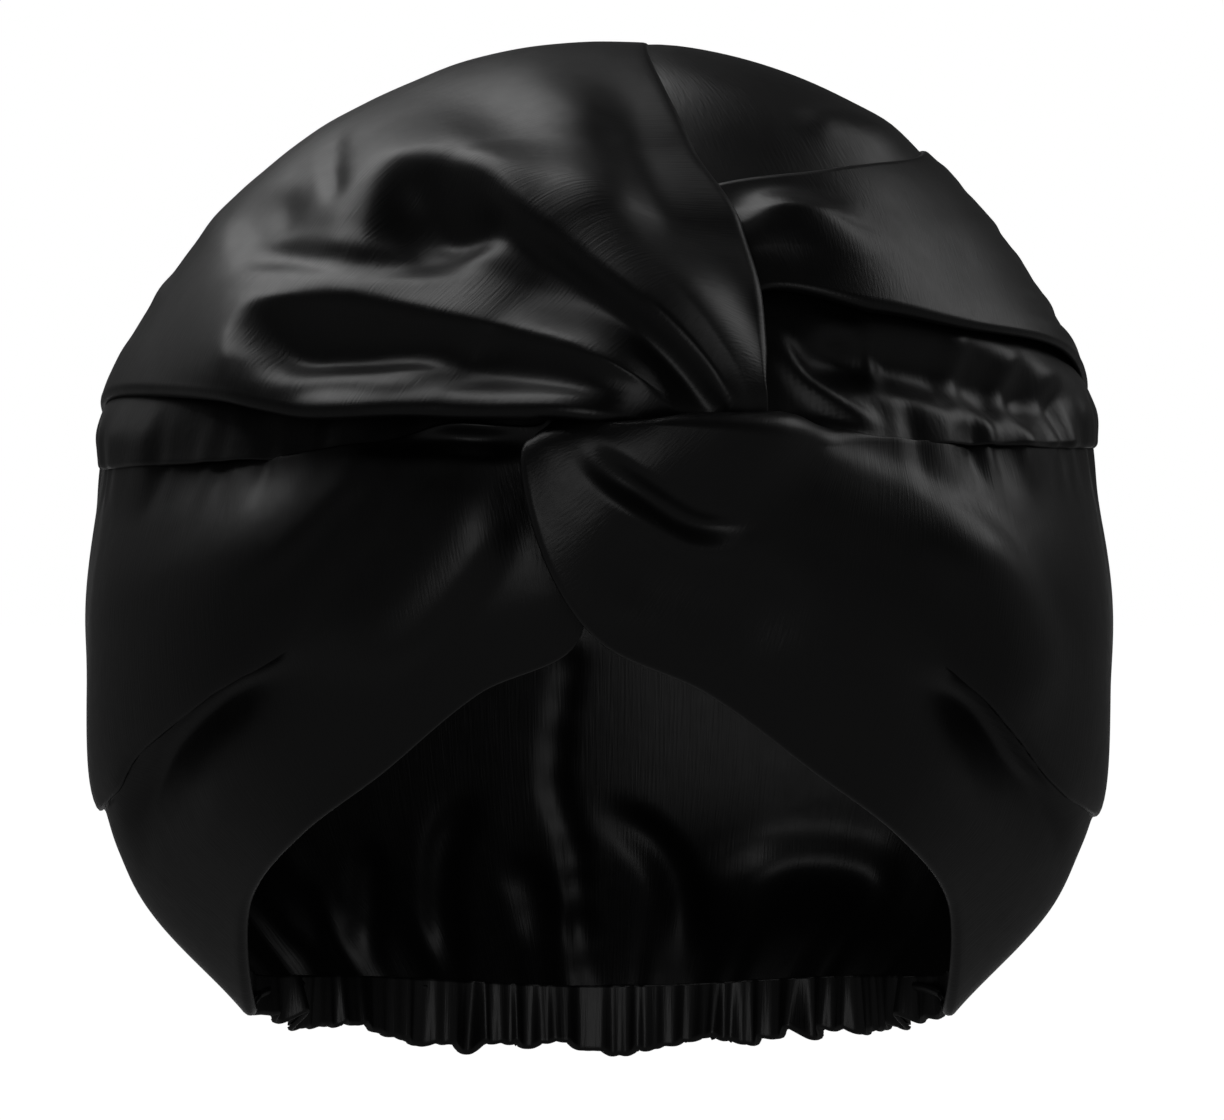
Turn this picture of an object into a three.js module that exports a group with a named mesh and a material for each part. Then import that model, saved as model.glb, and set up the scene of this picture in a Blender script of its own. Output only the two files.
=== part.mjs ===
// Satin hair cap with a twisted front: a domed crown, a wrap draped over its front, a deep band
// whose two arms hook through that wrap, and a gathered elastic casing at the nape.
// Millimetres, +Z up. The wearer faces -Y, and the origin is the middle of the head opening,
// level with the highest point of the forehead edge.
import * as THREE from "three";

// Crown: a superellipsoid about the origin, used above the seam where the band is sewn on.
const crownHalfWidth = 117;
const crownFront = 112;
const crownBack = 124;
const crownHeight = 130.5;
const crownRoundness = 2.1;
const seamHeight = 42;
const seamTilt = 0.022; // the seam climbs by this share from the left side to the right
const seamTuck = 2; // the band reaches this far up behind the crown's edge
const seamGap = 1.2; // and hangs this far inside it

// Crown: the swell of the gathered cloth above the seam.
const swellHeight = 2.8;
const swellReach = 0.2; // as a share of the way from the seam to the top
const swellFade = 95; // it has faded out this far in front of the middle

// Crown: the soft puff that shows between the wrap's two arms, high on the right.
const puffAcross = 52;
const puffForward = 20;
const puffReach = 0.58; // as an angle from its middle, in radians
const puffHeight = 4;

// Cloth: two layers of satin sewn back to back, and the thicker tunnel that holds the elastic.
const clothThickness = 1.6;
const casingThickness = 3.2;
const foldFade = 0.6; // below 1 a fold keeps its height until close to its ends

// Nape casing: its height, and the gathers that the elastic pulls it into.
const casingHeight = 14.5;
const casingTuck = 4; // the casing is sewn in this far above the band's nape edge
const casingGathers = 26;
const casingGatherDepth = 1.9;
const casingScallop = 1.3;
const casingGap = 1.2; // between the casing and the inside of the band
const casingHeadDepth = 0.35; // share of the gathers' depth that is left where the casing is sewn in
const napeMiddle = 10; // the gathers stand out from this far behind the middle of the head

// How finely the walls are faceted.
const crownColumns = 52;
const crownRings = 12;
const wrapAcross = 16;
const bandAcross = 12;
const casingAcross = 3;
const casingStepsPerGather = 5;
const seamHalvings = 30; // how closely the crown's edge is brought to the seam
const nudge = 0.02; // the step, in rows and in shares of the width, that finds which way a cloth faces

const satin = { color: 0x121212, roughness: 0.36, metalness: 0 };
const crownMaterial = new THREE.MeshStandardMaterial(satin);
const wrapMaterial = new THREE.MeshStandardMaterial(satin);
const bandMaterial = new THREE.MeshStandardMaterial(satin);
const casingMaterial = new THREE.MeshStandardMaterial({ ...satin, roughness: 0.45 });

const smooth = (x) => THREE.MathUtils.smoothstep(x, 0, 1);

// The seam between the crown and the band, at a place across the head.
function seamAt(x) {
  return seamHeight + seamTilt * x;
}

// A share of the crown's size, from 0 at its middle to 1 on its surface.
function crownShare(x, y, z, lift) {
  const depth = y < 0 ? crownFront : crownBack;
  const term = (value, size) => Math.abs(value / (size + lift)) ** crownRoundness;
  return term(x, crownHalfWidth) + term(y, depth) + term(z, crownHeight);
}

// The size left along one axis when the other two are chosen, on the crown lifted by so much.
function remaining(size, lift, share) {
  return (size + lift) * Math.max(0, 1 - share) ** (1 / crownRoundness);
}

function at(x, y, z) {
  return new THREE.Vector3(x, y, z);
}

// A point on the front of the crown, from its place across and its height.
function onFront(x, z, lift) {
  const y = -remaining(crownFront, lift, crownShare(x, 0, z, lift));
  return Object.assign(at(x, y, z), { lift });
}

// A point on one side of the crown, from its place front to back and its height.
function onSide(side, y, z, lift) {
  const x = side * remaining(crownHalfWidth, lift, crownShare(0, y, z, lift));
  return Object.assign(at(x, y, z), { lift });
}

// A point on the top of the crown, from its place across and front to back.
function onTop(x, y, lift) {
  const z = remaining(crownHeight, lift, crownShare(x, y, 0, lift));
  return Object.assign(at(x, y, z), { lift });
}

// A point moved to or from the crown's middle until it lies on the crown lifted by so much.
function seated(point, lift) {
  return point.multiplyScalar(crownShare(point.x, point.y, point.z, lift) ** (-1 / crownRoundness));
}

function mirrored(point) {
  return at(-point.x, point.y, point.z);
}

// How far the crown swells out over the seam, at a place front to back.
function swellAt(y) {
  return swellHeight * smooth(1 + y / swellFade);
}

// The band's upper edge, tucked up behind the crown's edge, in a direction from the middle.
function underSeam(x, y) {
  const z = seamAt(x) + seamTuck;
  const lift = swellAt(y) - clothThickness - seamGap;
  const room = 1 - crownShare(0, 0, z, lift);
  const stretch = (room / crownShare(x, y, 0, lift)) ** (1 / crownRoundness);
  return at(x * stretch, y * stretch, z);
}

// Wrap: one cloth from the left end of the crown, down behind the band's right arm, and up to
// the right end. A row is a section from its lower to its upper edge; steps run to the next row.
const wrapRows = [
  { lower: onSide(-1, 36, 47, 5), low: onSide(-1, 31, 86, 2.6),
    high: onTop(-50, 26, 2.6), upper: onTop(11, 22, 4.4), steps: 5 },
  { lower: onFront(-102, 57, 4), low: onFront(-88, 78, 3),
    high: onFront(-60, 104, 3), upper: onFront(10, 129.5, 4.4), steps: 5 },
  { lower: onFront(-66, 51, 8), low: onFront(-56, 71, 5),
    high: onFront(-34, 100, 4), upper: onFront(19, 109, 5), steps: 5 },
  { lower: onFront(-34, 50.5, 12), low: onFront(-24, 65, 9),
    high: onFront(-4, 89, 7), upper: onFront(29.5, 91, 9), steps: 5 },
  { lower: onFront(-3, 49.5, 20), low: onFront(4, 58, 18),
    high: onFront(18, 74, 13), upper: onFront(34, 72, 15), steps: 5 },
  { lower: onFront(19, 46, 14), low: onFront(23, 50, 15),
    high: onFront(30, 56, 14.5), upper: onFront(35, 56, 14.5), steps: 4 },
  { lower: onFront(31, 37, 9), low: onFront(32, 40, 9.5),
    high: onFront(34, 44, 9.5), upper: onFront(36, 47.5, 9.5), steps: 4 },
  { lower: onFront(40, 49, 6), low: onFront(38, 56, 6),
    high: onFront(36, 66, 5.5), upper: onFront(34, 77, 5), steps: 4 },
  { lower: onFront(42, 75, 5), low: onFront(39, 82, 6),
    high: onFront(35, 89, 6), upper: onFront(31, 95.5, 5), steps: 4 },
  { lower: onFront(60, 75, 7), low: onFront(58, 84, 7),
    high: onFront(55, 94, 6.5), upper: onFront(51, 103, 6.5), steps: 4 },
  { lower: onFront(86, 70, 4), low: onFront(83, 82, 3.5),
    high: onFront(79, 94, 4), upper: onFront(71, 107, 5.6), steps: 4 },
  { lower: onSide(1, 36, 49, 5), low: onSide(1, 32, 70, 3.2),
    high: onSide(1, 27, 91, 3.4), upper: onTop(71, 23, 4.2), steps: 0 },
];

// Folds of the wrap. A crest starts at one row and ends at another, at a share of the width that
// drifts between them. Its two slopes reach a share of the width below and above it.
const wrapFolds = [
  { fold: "upper crest", fromRow: 0.8, toRow: 5.4, startAcross: 0.6, endAcross: 0.6,
    height: 10, below: 0.14, above: 0.3 },
  { fold: "middle crest", fromRow: 0.5, toRow: 5.4, startAcross: 0.31, endAcross: 0.34,
    height: 8, below: 0.13, above: 0.12 },
  { fold: "lower roll", fromRow: 0.4, toRow: 5, startAcross: 0.07, endAcross: 0.1,
    height: 3, below: 0.08, above: 0.09 },
  { fold: "right arm roll", fromRow: 8, toRow: 11, startAcross: 0.45, endAcross: 0.4,
    height: 2, below: 0.4, above: 0.5 },
];

// Band: half of its sections, on the wearer's right side, from the middle of the back to the
// temple. Each runs from the nape or face edge up to the crown seam.
const centreBack = {
  lower: at(0, 86, -85), low: at(0, 113, -45), high: at(0, 123.5, 4), upper: underSeam(0, 118), steps: 4,
};
const sideRows = [
  { lower: at(-57, 66, -82), low: at(-80, 82, -46),
    high: at(-88, 86.5, 2), upper: underSeam(-85, 83), steps: 4 },
  { lower: at(-79, 24, -81), low: at(-100, 27, -54),
    high: at(-114.5, 28, 0), upper: underSeam(-111, 26), steps: 3 },
  { lower: at(-80, 4, -84), low: at(-106, -1, -53),
    high: at(-115.3, -2, 0), upper: underSeam(-112, -3), steps: 3 },
  { lower: at(-79, -45, -57), low: at(-103, -42, -34),
    high: at(-109, -44, 3), upper: underSeam(-102, -46), steps: 4 },
  { lower: at(-66, -75, -41), low: at(-80, -82, -15),
    high: at(-84, -84, 14), upper: at(-79.5, -75.5, 39), steps: 4 },
  { lower: at(-47.5, -91, -27.5), low: at(-53, -102, -4),
    high: at(-56, -104, 20), upper: at(-58, -96.5, 41), steps: 4 },
];

// Left arm: its last sections before the twist, behind the right arm.
const leftKnotRows = [
  { lower: at(-26, -102, -10), low: at(-28, -109.5, 7),
    high: at(-31, -112, 27), upper: at(-34, -109.5, 45.5), steps: 4 },
  { lower: at(-4, -106, 2), low: at(-4, -111, 16),
    high: at(-8, -112.5, 33), upper: at(-12, -112, 47), steps: 5 },
];

// The turn of the band, tucked behind the wrap's lower edge.
const turnRow = {
  lower: at(-9, -116, 43), low: at(-9.5, -117, 45.5),
  high: at(-10, -117, 48.5), upper: at(-10, -117, 51.5), steps: 5,
};

// Right arm: its first sections after the twist, in front of everything else.
const rightKnotRows = [
  { lower: at(-15.5, -126, 43), low: at(-12, -127, 44.5),
    high: at(-6, -127, 46), upper: at(-1, -126.5, 47.5), steps: 5 },
  { lower: at(-11, -127, 20), low: at(-2, -128, 27),
    high: at(8, -128.5, 37), upper: at(18, -126.5, 46.5), steps: 4 },
  { lower: at(1, -119, 1.5), low: at(11, -121, 13),
    high: at(23, -122, 28), upper: at(38, -119, 45), steps: 4 },
  { lower: at(24, -107, -10), low: at(32, -113, 6),
    high: at(41, -113, 25), upper: at(50, -104, 43.5), steps: 4 },
];

const edges = ["lower", "low", "high", "upper"];

// The far side follows the near one back to the middle of the back, with its seam higher up.
// Its first two sections lie in front of the crown, where no seam holds them.
const farRows = [...sideRows].reverse().map((row, i) => {
  const inFront = i < 2;
  const far = { steps: inFront ? 4 : 3 };
  for (const edge of edges) far[edge] = mirrored(row[edge]);
  if (inFront) far.upper.z += 2 * seamTilt * far.upper.x;
  else far.upper = underSeam(far.upper.x, far.upper.y);
  return far;
});
const bandRows = [centreBack, ...sideRows, ...leftKnotRows, turnRow, ...rightKnotRows, ...farRows];

// Folds of the band, by row of bandRows.
const bandFolds = [
  { fold: "left pleat", fromRow: 2.6, toRow: 6.6, startAcross: 0.4, endAcross: 0.36,
    height: 4.5, below: 0.09, above: 0.3 },
  { fold: "left ridge", fromRow: 4.5, toRow: 8.5, startAcross: 0.62, endAcross: 0.97,
    height: 3.5, below: 0.14, above: 0.14 },
  { fold: "right top fold", fromRow: 11.5, toRow: 16, startAcross: 0.92, endAcross: 0.6,
    height: 4.5, below: 0.3, above: 0.14 },
  { fold: "right pleat", fromRow: 14, toRow: 18, startAcross: 0.36, endAcross: 0.4,
    height: 4.5, below: 0.09, above: 0.3 },
];

// How far one fold lifts the cloth at a row and a share of the width.
function foldLift(fold, row, across) {
  const along = (row - fold.fromRow) / (fold.toRow - fold.fromRow);
  if (along <= 0 || along >= 1) return 0;
  const crest = THREE.MathUtils.lerp(fold.startAcross, fold.endAcross, along);
  const away = across - crest;
  const reach = away < 0 ? fold.below : fold.above;
  const slope = Math.max(0, 1 - Math.abs(away) / reach);
  return fold.height * smooth(slope) * Math.sin(Math.PI * along) ** foldFade;
}

// A value eased between the two entries of a list that a place falls between.
function eased(values, place) {
  const first = Math.min(Math.floor(place), values.length - 2);
  return THREE.MathUtils.lerp(values[first], values[first + 1], smooth(place - first));
}

// How far a draped cloth stands off the crown, from the lifts of the points of its rows.
function draped(rows, row, across) {
  const lifts = edges.map((edge) => eased(rows.map((section) => section[edge].lift), row));
  return eased(lifts, across * (edges.length - 1));
}

// A cloth lofted through rows of sections: rows along it, and a share of its width across it.
// An open cloth lies on the crown, and a closed one stands clear of it.
function clothSurface(rows, folds, closed) {
  const along = (edge) => new THREE.CatmullRomCurve3(rows.map((row) => row[edge]), closed);
  const lines = edges.map(along);
  const spans = closed ? rows.length : rows.length - 1;
  const flat = (place, across) => {
    const row = closed ? (place + spans) % spans : THREE.MathUtils.clamp(place, 0, spans);
    const section = new THREE.CatmullRomCurve3(lines.map((line) => line.getPoint(row / spans)));
    const point = section.getPoint(across);
    return closed ? point : seated(point, draped(rows, row, across));
  };
  return (row, across) => {
    const lift = folds.reduce((sum, fold) => sum + foldLift(fold, row, across), 0);
    const point = flat(row, across);
    return lift > 0 ? point.addScaledVector(facing(flat, row, across), lift) : point;
  };
}

// The outward direction of a surface.
function facing(surface, row, across) {
  const low = Math.max(0, across - nudge);
  const high = Math.min(1, across + nudge);
  const along = surface(row + nudge, across).sub(surface(row - nudge, across));
  const up = surface(row, high).sub(surface(row, low));
  return along.cross(up).normalize();
}

// The rows at which a cloth is faceted: so many steps from each section to the next.
function stationsOf(rows, closed) {
  const last = closed ? rows.length : rows.length - 1;
  const stations = [];
  for (let i = 0; i < last; i++) {
    for (let k = 0; k < rows[i].steps; k++) stations.push(i + k / rows[i].steps);
  }
  if (!closed) stations.push(last);
  return stations;
}

// A closed wall of an even thickness behind a surface, with square edges.
function wallGeometry(surface, stations, acrossSteps, thickness, closed) {
  const positions = [];
  const across = Array.from({ length: acrossSteps + 1 }, (_, i) => i / acrossSteps);
  for (const row of stations) {
    for (const share of across) {
      const outer = surface(row, share);
      const inner = outer.clone().addScaledVector(facing(surface, row, share), -thickness);
      positions.push(...outer.toArray(), ...inner.toArray());
    }
  }
  const corner = (i, j, side) => 2 * ((i % stations.length) * across.length + j) + side;
  const triangles = [];
  const quad = (a, b, c, d) => triangles.push(a, b, c, a, c, d);
  const last = closed ? stations.length : stations.length - 1;
  const top = acrossSteps;
  for (let i = 0; i < last; i++) {
    const next = i + 1;
    for (let j = 0; j < top; j++) {
      quad(corner(i, j, 0), corner(next, j, 0), corner(next, j + 1, 0), corner(i, j + 1, 0));
      quad(corner(i, j, 1), corner(i, j + 1, 1), corner(next, j + 1, 1), corner(next, j, 1));
    }
    quad(corner(i, 0, 1), corner(next, 0, 1), corner(next, 0, 0), corner(i, 0, 0));
    quad(corner(i, top, 0), corner(next, top, 0), corner(next, top, 1), corner(i, top, 1));
  }
  if (!closed) {
    for (let j = 0; j < top; j++) {
      quad(corner(0, j, 1), corner(0, j, 0), corner(0, j + 1, 0), corner(0, j + 1, 1));
      quad(corner(last, j, 0), corner(last, j, 1), corner(last, j + 1, 1), corner(last, j + 1, 0));
    }
  }
  return meshed(positions, triangles);
}

function meshed(positions, triangles) {
  const geometry = new THREE.BufferGeometry();
  geometry.setAttribute("position", new THREE.Float32BufferAttribute(positions, 3));
  geometry.setIndex(triangles);
  geometry.computeVertexNormals();
  return geometry;
}

// The wall of a cloth lofted through rows.
function clothGeometry(rows, folds, acrossSteps, closed) {
  const surface = clothSurface(rows, folds, closed);
  return wallGeometry(surface, stationsOf(rows, closed), acrossSteps, clothThickness, closed);
}

const puffMiddle = onTop(puffAcross, -puffForward, 0).normalize();
const quarterTurn = Math.PI / 2;

// A point of the crown, from its turn round the head and its share of the way down to the seam.
function crownPoint(turn, down, inset) {
  const direction = at(Math.sin(turn), -Math.cos(turn), 0);
  const edge = at(0, 0, 0);
  let low = 0;
  let high = 1;
  for (let i = 0; i < seamHalvings; i++) {
    const share = (low + high) / 2;
    edge.copy(direction).multiplyScalar(Math.sin(share * quarterTurn)).setZ(Math.cos(share * quarterTurn));
    seated(edge, -inset);
    if (edge.z > seamAt(edge.x)) low = share;
    else high = share;
  }
  const tilt = down * low * quarterTurn;
  const point = direction.multiplyScalar(Math.sin(tilt)).setZ(Math.cos(tilt));
  const puff = puffHeight * smooth(1 - point.angleTo(puffMiddle) / puffReach);
  const swell = swellAt(edge.y) * smooth(1 - (1 - down) / swellReach);
  return seated(point, puff + swell - inset);
}

// The crown's wall: rings from the top of the head down to the seam, outside and inside.
function crownGeometry() {
  const positions = [];
  for (const inset of [0, clothThickness]) {
    positions.push(...crownPoint(0, 0, inset).toArray());
    for (let ring = 1; ring <= crownRings; ring++) {
      for (let column = 0; column < crownColumns; column++) {
        const turn = (column / crownColumns) * 2 * Math.PI;
        positions.push(...crownPoint(turn, ring / crownRings, inset).toArray());
      }
    }
  }
  const layer = 1 + crownRings * crownColumns;
  const inRing = (ring, column) => 1 + (ring - 1) * crownColumns + (column % crownColumns);
  const corner = (side, ring, column) => side * layer + (ring ? inRing(ring, column) : 0);
  const triangles = [];
  for (let column = 0; column < crownColumns; column++) {
    triangles.push(corner(0, 0, 0), corner(0, 1, column), corner(0, 1, column + 1));
    triangles.push(corner(1, 0, 0), corner(1, 1, column + 1), corner(1, 1, column));
    for (let ring = 1; ring < crownRings; ring++) {
      for (const side of [0, 1]) {
        const a = corner(side, ring, column);
        const b = corner(side, ring + 1, column);
        const c = corner(side, ring + 1, column + 1);
        const d = corner(side, ring, column + 1);
        triangles.push(...(side ? [a, c, b, a, d, c] : [a, b, c, a, c, d]));
      }
    }
    const a = corner(0, crownRings, column);
    const b = corner(1, crownRings, column);
    const c = corner(1, crownRings, column + 1);
    const d = corner(0, crownRings, column + 1);
    triangles.push(a, b, c, a, c, d);
  }
  return meshed(positions, triangles);
}

// Nape casing: a gathered tunnel that hangs from the band's nape edge, from one end to the other.
function casingSurface() {
  const inside = clothThickness + casingThickness + casingGap;
  const half = [at(-78.5, 5, -77.5), at(-78.5, 24, -80), sideRows[0].lower];
  const top = new THREE.CatmullRomCurve3([...half, centreBack.lower, ...half.map(mirrored).reverse()]);
  return (row, across) => {
    const point = top.getPointAt(THREE.MathUtils.clamp(row / casingGathers, 0, 1));
    const outward = at(point.x, point.y - napeMiddle, 0).normalize();
    const wave = Math.sin(2 * Math.PI * row);
    const free = 1 - across;
    point.z += casingTuck - free * (casingHeight + casingScallop * wave);
    const depth = casingGatherDepth * wave * THREE.MathUtils.lerp(casingHeadDepth, 1, free);
    return point.addScaledVector(outward, depth - inside);
  };
}

function casingGeometry() {
  const steps = (casingGathers - 1) * casingStepsPerGather;
  const stations = Array.from({ length: steps + 1 }, (_, i) => 0.5 + i / casingStepsPerGather);
  return wallGeometry(casingSurface(), stations, casingAcross, casingThickness, false);
}

function piece(name, geometry, material) {
  const mesh = new THREE.Mesh(geometry, material);
  mesh.name = name;
  return mesh;
}

const cap = new THREE.Group();
cap.add(
  piece("crown", crownGeometry(), crownMaterial),
  piece("crown_wrap", clothGeometry(wrapRows, wrapFolds, wrapAcross, false), wrapMaterial),
  piece("front_band", clothGeometry(bandRows, bandFolds, bandAcross, true), bandMaterial),
  piece("nape_casing", casingGeometry(), casingMaterial),
);

export default cap;
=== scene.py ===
import bmesh
import bpy
import numpy as np
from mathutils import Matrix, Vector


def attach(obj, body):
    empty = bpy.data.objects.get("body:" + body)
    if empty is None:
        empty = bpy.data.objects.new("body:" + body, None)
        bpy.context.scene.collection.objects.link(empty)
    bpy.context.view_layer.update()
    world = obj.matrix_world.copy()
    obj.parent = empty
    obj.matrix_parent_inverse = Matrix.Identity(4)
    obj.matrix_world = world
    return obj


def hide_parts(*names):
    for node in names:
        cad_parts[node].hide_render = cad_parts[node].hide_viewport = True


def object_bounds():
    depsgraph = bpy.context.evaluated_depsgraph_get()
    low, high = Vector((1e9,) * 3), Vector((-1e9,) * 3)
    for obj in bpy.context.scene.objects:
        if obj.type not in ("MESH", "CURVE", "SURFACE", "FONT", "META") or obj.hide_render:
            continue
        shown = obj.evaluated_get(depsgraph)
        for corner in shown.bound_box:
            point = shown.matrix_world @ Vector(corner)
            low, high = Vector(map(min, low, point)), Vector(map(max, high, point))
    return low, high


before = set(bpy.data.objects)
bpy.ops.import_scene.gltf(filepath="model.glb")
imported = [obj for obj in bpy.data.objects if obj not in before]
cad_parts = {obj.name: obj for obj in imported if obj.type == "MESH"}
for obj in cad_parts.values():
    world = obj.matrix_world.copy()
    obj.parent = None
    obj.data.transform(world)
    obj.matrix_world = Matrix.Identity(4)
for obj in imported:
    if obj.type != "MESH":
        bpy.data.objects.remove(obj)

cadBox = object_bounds()
mm = 0.001
weldDistance = 1e-6  # m
leastGap = 1e-4      # between the knots of a run, so that two may share a place
tiny = 1e-9          # keeps a length that is divided by from being nothing

# The camera stands level with the knot, as far off as a long lens in a studio. Its places are in mm.
studio = {
    "cameraAt": (2.8, -2400.0, 18.0),
    "viewWidth": 275.4,      # what the picture spans at the middle of the head
    "sensor": 36.0,
    "seenTo": 50.0,          # how far the camera sees, m
    "floorDrop": 150.0,      # the floor lies this far below the cap, which a head would hold up
    "floorReach": 40.0,      # m
    "floorColour": "#f6f6f6",
    "floorRoughness": 0.9,
    "floorGlow": 1.0,        # as pale as the sky behind it
    "hazeBelow": 0.1,        # light that comes from all round, most of it thrown up by the pale floor
    "hazeAbove": 0.02,
    "hazeSpan": (-0.3, 0.4),  # the heights between which it dims, on a sky of radius 1
    # Lamps, in metres and watts. Each points at the middle of the head unless it has an aim of its own.
    "lamps": [
        {"name": "topLamp", "at": (-0.65, 0.5, 1.28), "size": 1.3, "power": 10.5},
        {"name": "leftLamp", "at": (-1.0, 0.9, 0.68), "size": 0.8, "power": 0.3},
        {"name": "rightLamp", "at": (1.15, 0.45, 0.86), "size": 0.8, "power": 2.6},
        {"name": "backLamp", "at": (0.0, 1.9, -0.3), "size": 1.0, "power": 1.2},
        {"name": "frontLamp", "at": (0.0, -2.6, -0.1), "size": 1.3, "power": 6.0},
        {"name": "hollowLamp", "at": (-0.045, 0.015, 0.01), "size": 0.05, "power": 0.007,
         "aim": (0.03, 0.1, -0.04)},
    ],
}


# Eases from 0 to 1 with no corner at either end.
def smooth(x):
    x = np.clip(x, 0, 1)
    return x * x * x * (x * (6 * x - 15) + 10)


# An uneven wave along a share 0 to 1 that ends as it began.
def wander(share, waves, seed):
    heights = np.random.default_rng(seed).uniform(-1, 1, waves)
    place = np.mod(share, 1) * waves
    first = np.floor(place).astype(int)
    w = smooth(place - first)
    return heights[first % waves] * (1 - w) + heights[(first + 1) % waves] * w


# Turns an sRGB hex colour to linear.
def toLinear(hexColour):
    parts = [int(hexColour[i:i + 2], 16) / 255 for i in (1, 3, 5)]
    return tuple(((c + 0.055) / 1.055) ** 2.4 if c > 0.04045 else c / 12.92 for c in parts) + (1.0,)


# Crown: the dome that every other cloth lies on or hangs from, in mm about the head's middle.
# Its rows are counted round the head from the front. These lie to the right and to the left of the knot.
crownRight = (0, 11)
crownLeft = (29, 40)

# A crease, here and on the other cloths, has the rows of the cloth that it may touch, a path as the picture
# shows it, how far it lifts the cloth, and how far it reaches to the left and the right of its path.
# It may also narrow along its path, be firm, which sharpens its ridge, and have tapers of its own.
crownCloth = {
    "halfWidth": 117.0,
    "front": 112.0,
    "back": 124.0,
    "height": 130.5,
    "roundness": 2.1,
    "seamHeight": 42.0,
    "seamTilt": 0.022,
    "seamTuck": 0.5,
    "seamGap": 1.3,          # how far inside the crown's edge the band hangs at the seam
    "seamTurns": 721,        # places round the head at which the seam is looked for
    "seamHalvings": 30,
    "swell": 2.8,            # gathered cloth stands out over the seam
    "swellPeak": 8.0,        # most of all this far above it
    "swellLip": 0.3,         # where on its rise the swell is at the seam itself
    "swellReach": 24.0,      # and how far above the seam it is gone
    "swellFade": 95.0,       # it dies away over this length towards the front
    "puffAt": (40.0, -18.0),  # the wedge between the wrap's arms puffs up about this place
    "puffReach": 0.46,       # radians about the head's middle
    "puff": 4.2,
    "puffPlateau": 1.6,      # how broad its top is
    "thickness": 1.0,
    "rounds": 40,            # rows in a whole turn
    "facesAlong": 480,
    "facesAcross": 78,
    "crowding": 1.35,        # faces lie closer together near the seam
    # How wide the rolled edges are, by row: 0 is the lower edge and -1 the upper.
    "hems": {0: [(0, 0.4), (5, 0.4), (8, 1.6), (32, 1.6), (35, 0.4), (40, 0.4)]},
    "hemTurn": 100,          # degrees that they roll through
    "hemSteps": 5,
    "softness": 1,           # how often the relief of its folds is evened out
    "flat": (0.31, 0.33),    # as it was cut, m
    "area": 0.08,            # an oval cut, square metres
    "puckers": [(150, 1.0, 3), (50, 0.6, 4)],  # waves round the seam, their share and their seed
    "puckerDepth": 1.2,      # stitches draw the cloth up unevenly at the seam
    "puckerReach": 15.0,
    "creases": [
        # The pocket under the wrap's right arm and the folds in it.
        {"rows": crownRight, "path": [(43, 65), (68, 63), (90, 57), (108, 51)],
         "height": -6, "left": 9, "right": 11, "taper": (0.2, 0.2)},
        {"rows": crownRight, "path": [(38, 70), (45, 60), (56, 51), (63, 48)],
         "height": 2.5, "left": 4, "right": 5},
        {"rows": crownRight, "path": [(61, 55), (63, 63), (56, 69), (48, 71)],
         "height": 2, "left": 3, "right": 4},
        {"rows": crownRight, "path": [(81, 70), (82, 60), (84, 48)], "height": 1.5, "left": 4, "right": 5},
        {"rows": crownRight, "path": [(92, 66), (93, 57), (93, 47)], "height": 1.8, "left": 4, "right": 4},
        {"rows": crownRight, "path": [(101, 62), (101, 54), (100, 46)],
         "height": 1.5, "left": 4, "right": 4},
        # The edge that comes forward to the band beside the knot.
        {"rows": crownRight, "path": [(30, 42), (40, 41), (52, 41), (70, 42)],
         "height": 8, "left": 10, "right": 10, "taper": (0.3, 0.5)},
        # The wedge between the arms, then the room under the left arm.
        {"rows": crownRight, "path": [(45, 117), (56, 116), (68, 111)],
         "height": 1.5, "left": 6, "right": 7},
        {"rows": crownLeft, "path": [(-78, 68), (-45, 84), (0, 78)],
         "height": -9, "left": 34, "right": 20},
    ],
}


# How far out points lie: 1 is on the crown, or on a shell that stands a lift above it.
def crownShare(points, lift):
    depth = np.where(points[..., 1] < 0, crownCloth["front"], crownCloth["back"])
    size = np.stack([np.full_like(depth, crownCloth["halfWidth"]), depth,
                     np.full_like(depth, crownCloth["height"])], -1)
    size = size + np.asarray(lift)[..., None]
    return (np.abs(points / size) ** crownCloth["roundness"]).sum(-1)


# Moves points along their rays from the head's middle onto that shell.
def seated(points, lift):
    return points * (crownShare(points, lift) ** (-1 / crownCloth["roundness"]))[..., None]


# The height of the crown's seam, which climbs a little to the right.
def seamAt(x):
    return crownCloth["seamHeight"] + crownCloth["seamTilt"] * x


# The swell over the seam, which dies away towards the front.
def swellAt(y):
    return crownCloth["swell"] * smooth(1 + y / crownCloth["swellFade"])


# A place on the crown's front, side or top, with how far the cloth stands off it there.
def onCrown(lift, x=None, y=None, z=None, side=1):
    known = np.array([0 if v is None else v for v in (x, y, z)], float)
    room = max(0.0, 1 - float(crownShare(known, lift))) ** (1 / crownCloth["roundness"])
    if y is None:
        known[1] = -room * (crownCloth["front"] + lift)
    elif x is None:
        known[0] = side * room * (crownCloth["halfWidth"] + lift)
    else:
        known[2] = room * (crownCloth["height"] + lift)
    return (*known, lift)


def onFront(x, z, lift):
    return onCrown(lift, x=x, z=z)


def onSide(side, y, z, lift):
    return onCrown(lift, y=y, z=z, side=side)


def onTop(x, y, lift):
    return onCrown(lift, x=x, y=y)


# The band's upper edge, tucked up behind the crown's gathered edge.
def underSeam(x, y):
    z = seamAt(x) + crownCloth["seamTuck"]
    lift = float(swellAt(y) * smooth(crownCloth["swellLip"])) - crownCloth["seamGap"]
    room = 1 - float(crownShare(np.array([0.0, 0.0, z]), lift))
    stretch = (room / float(crownShare(np.array([x, y, 0.0]), lift))) ** (1 / crownCloth["roundness"])
    return (x * stretch, y * stretch, z)


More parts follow.
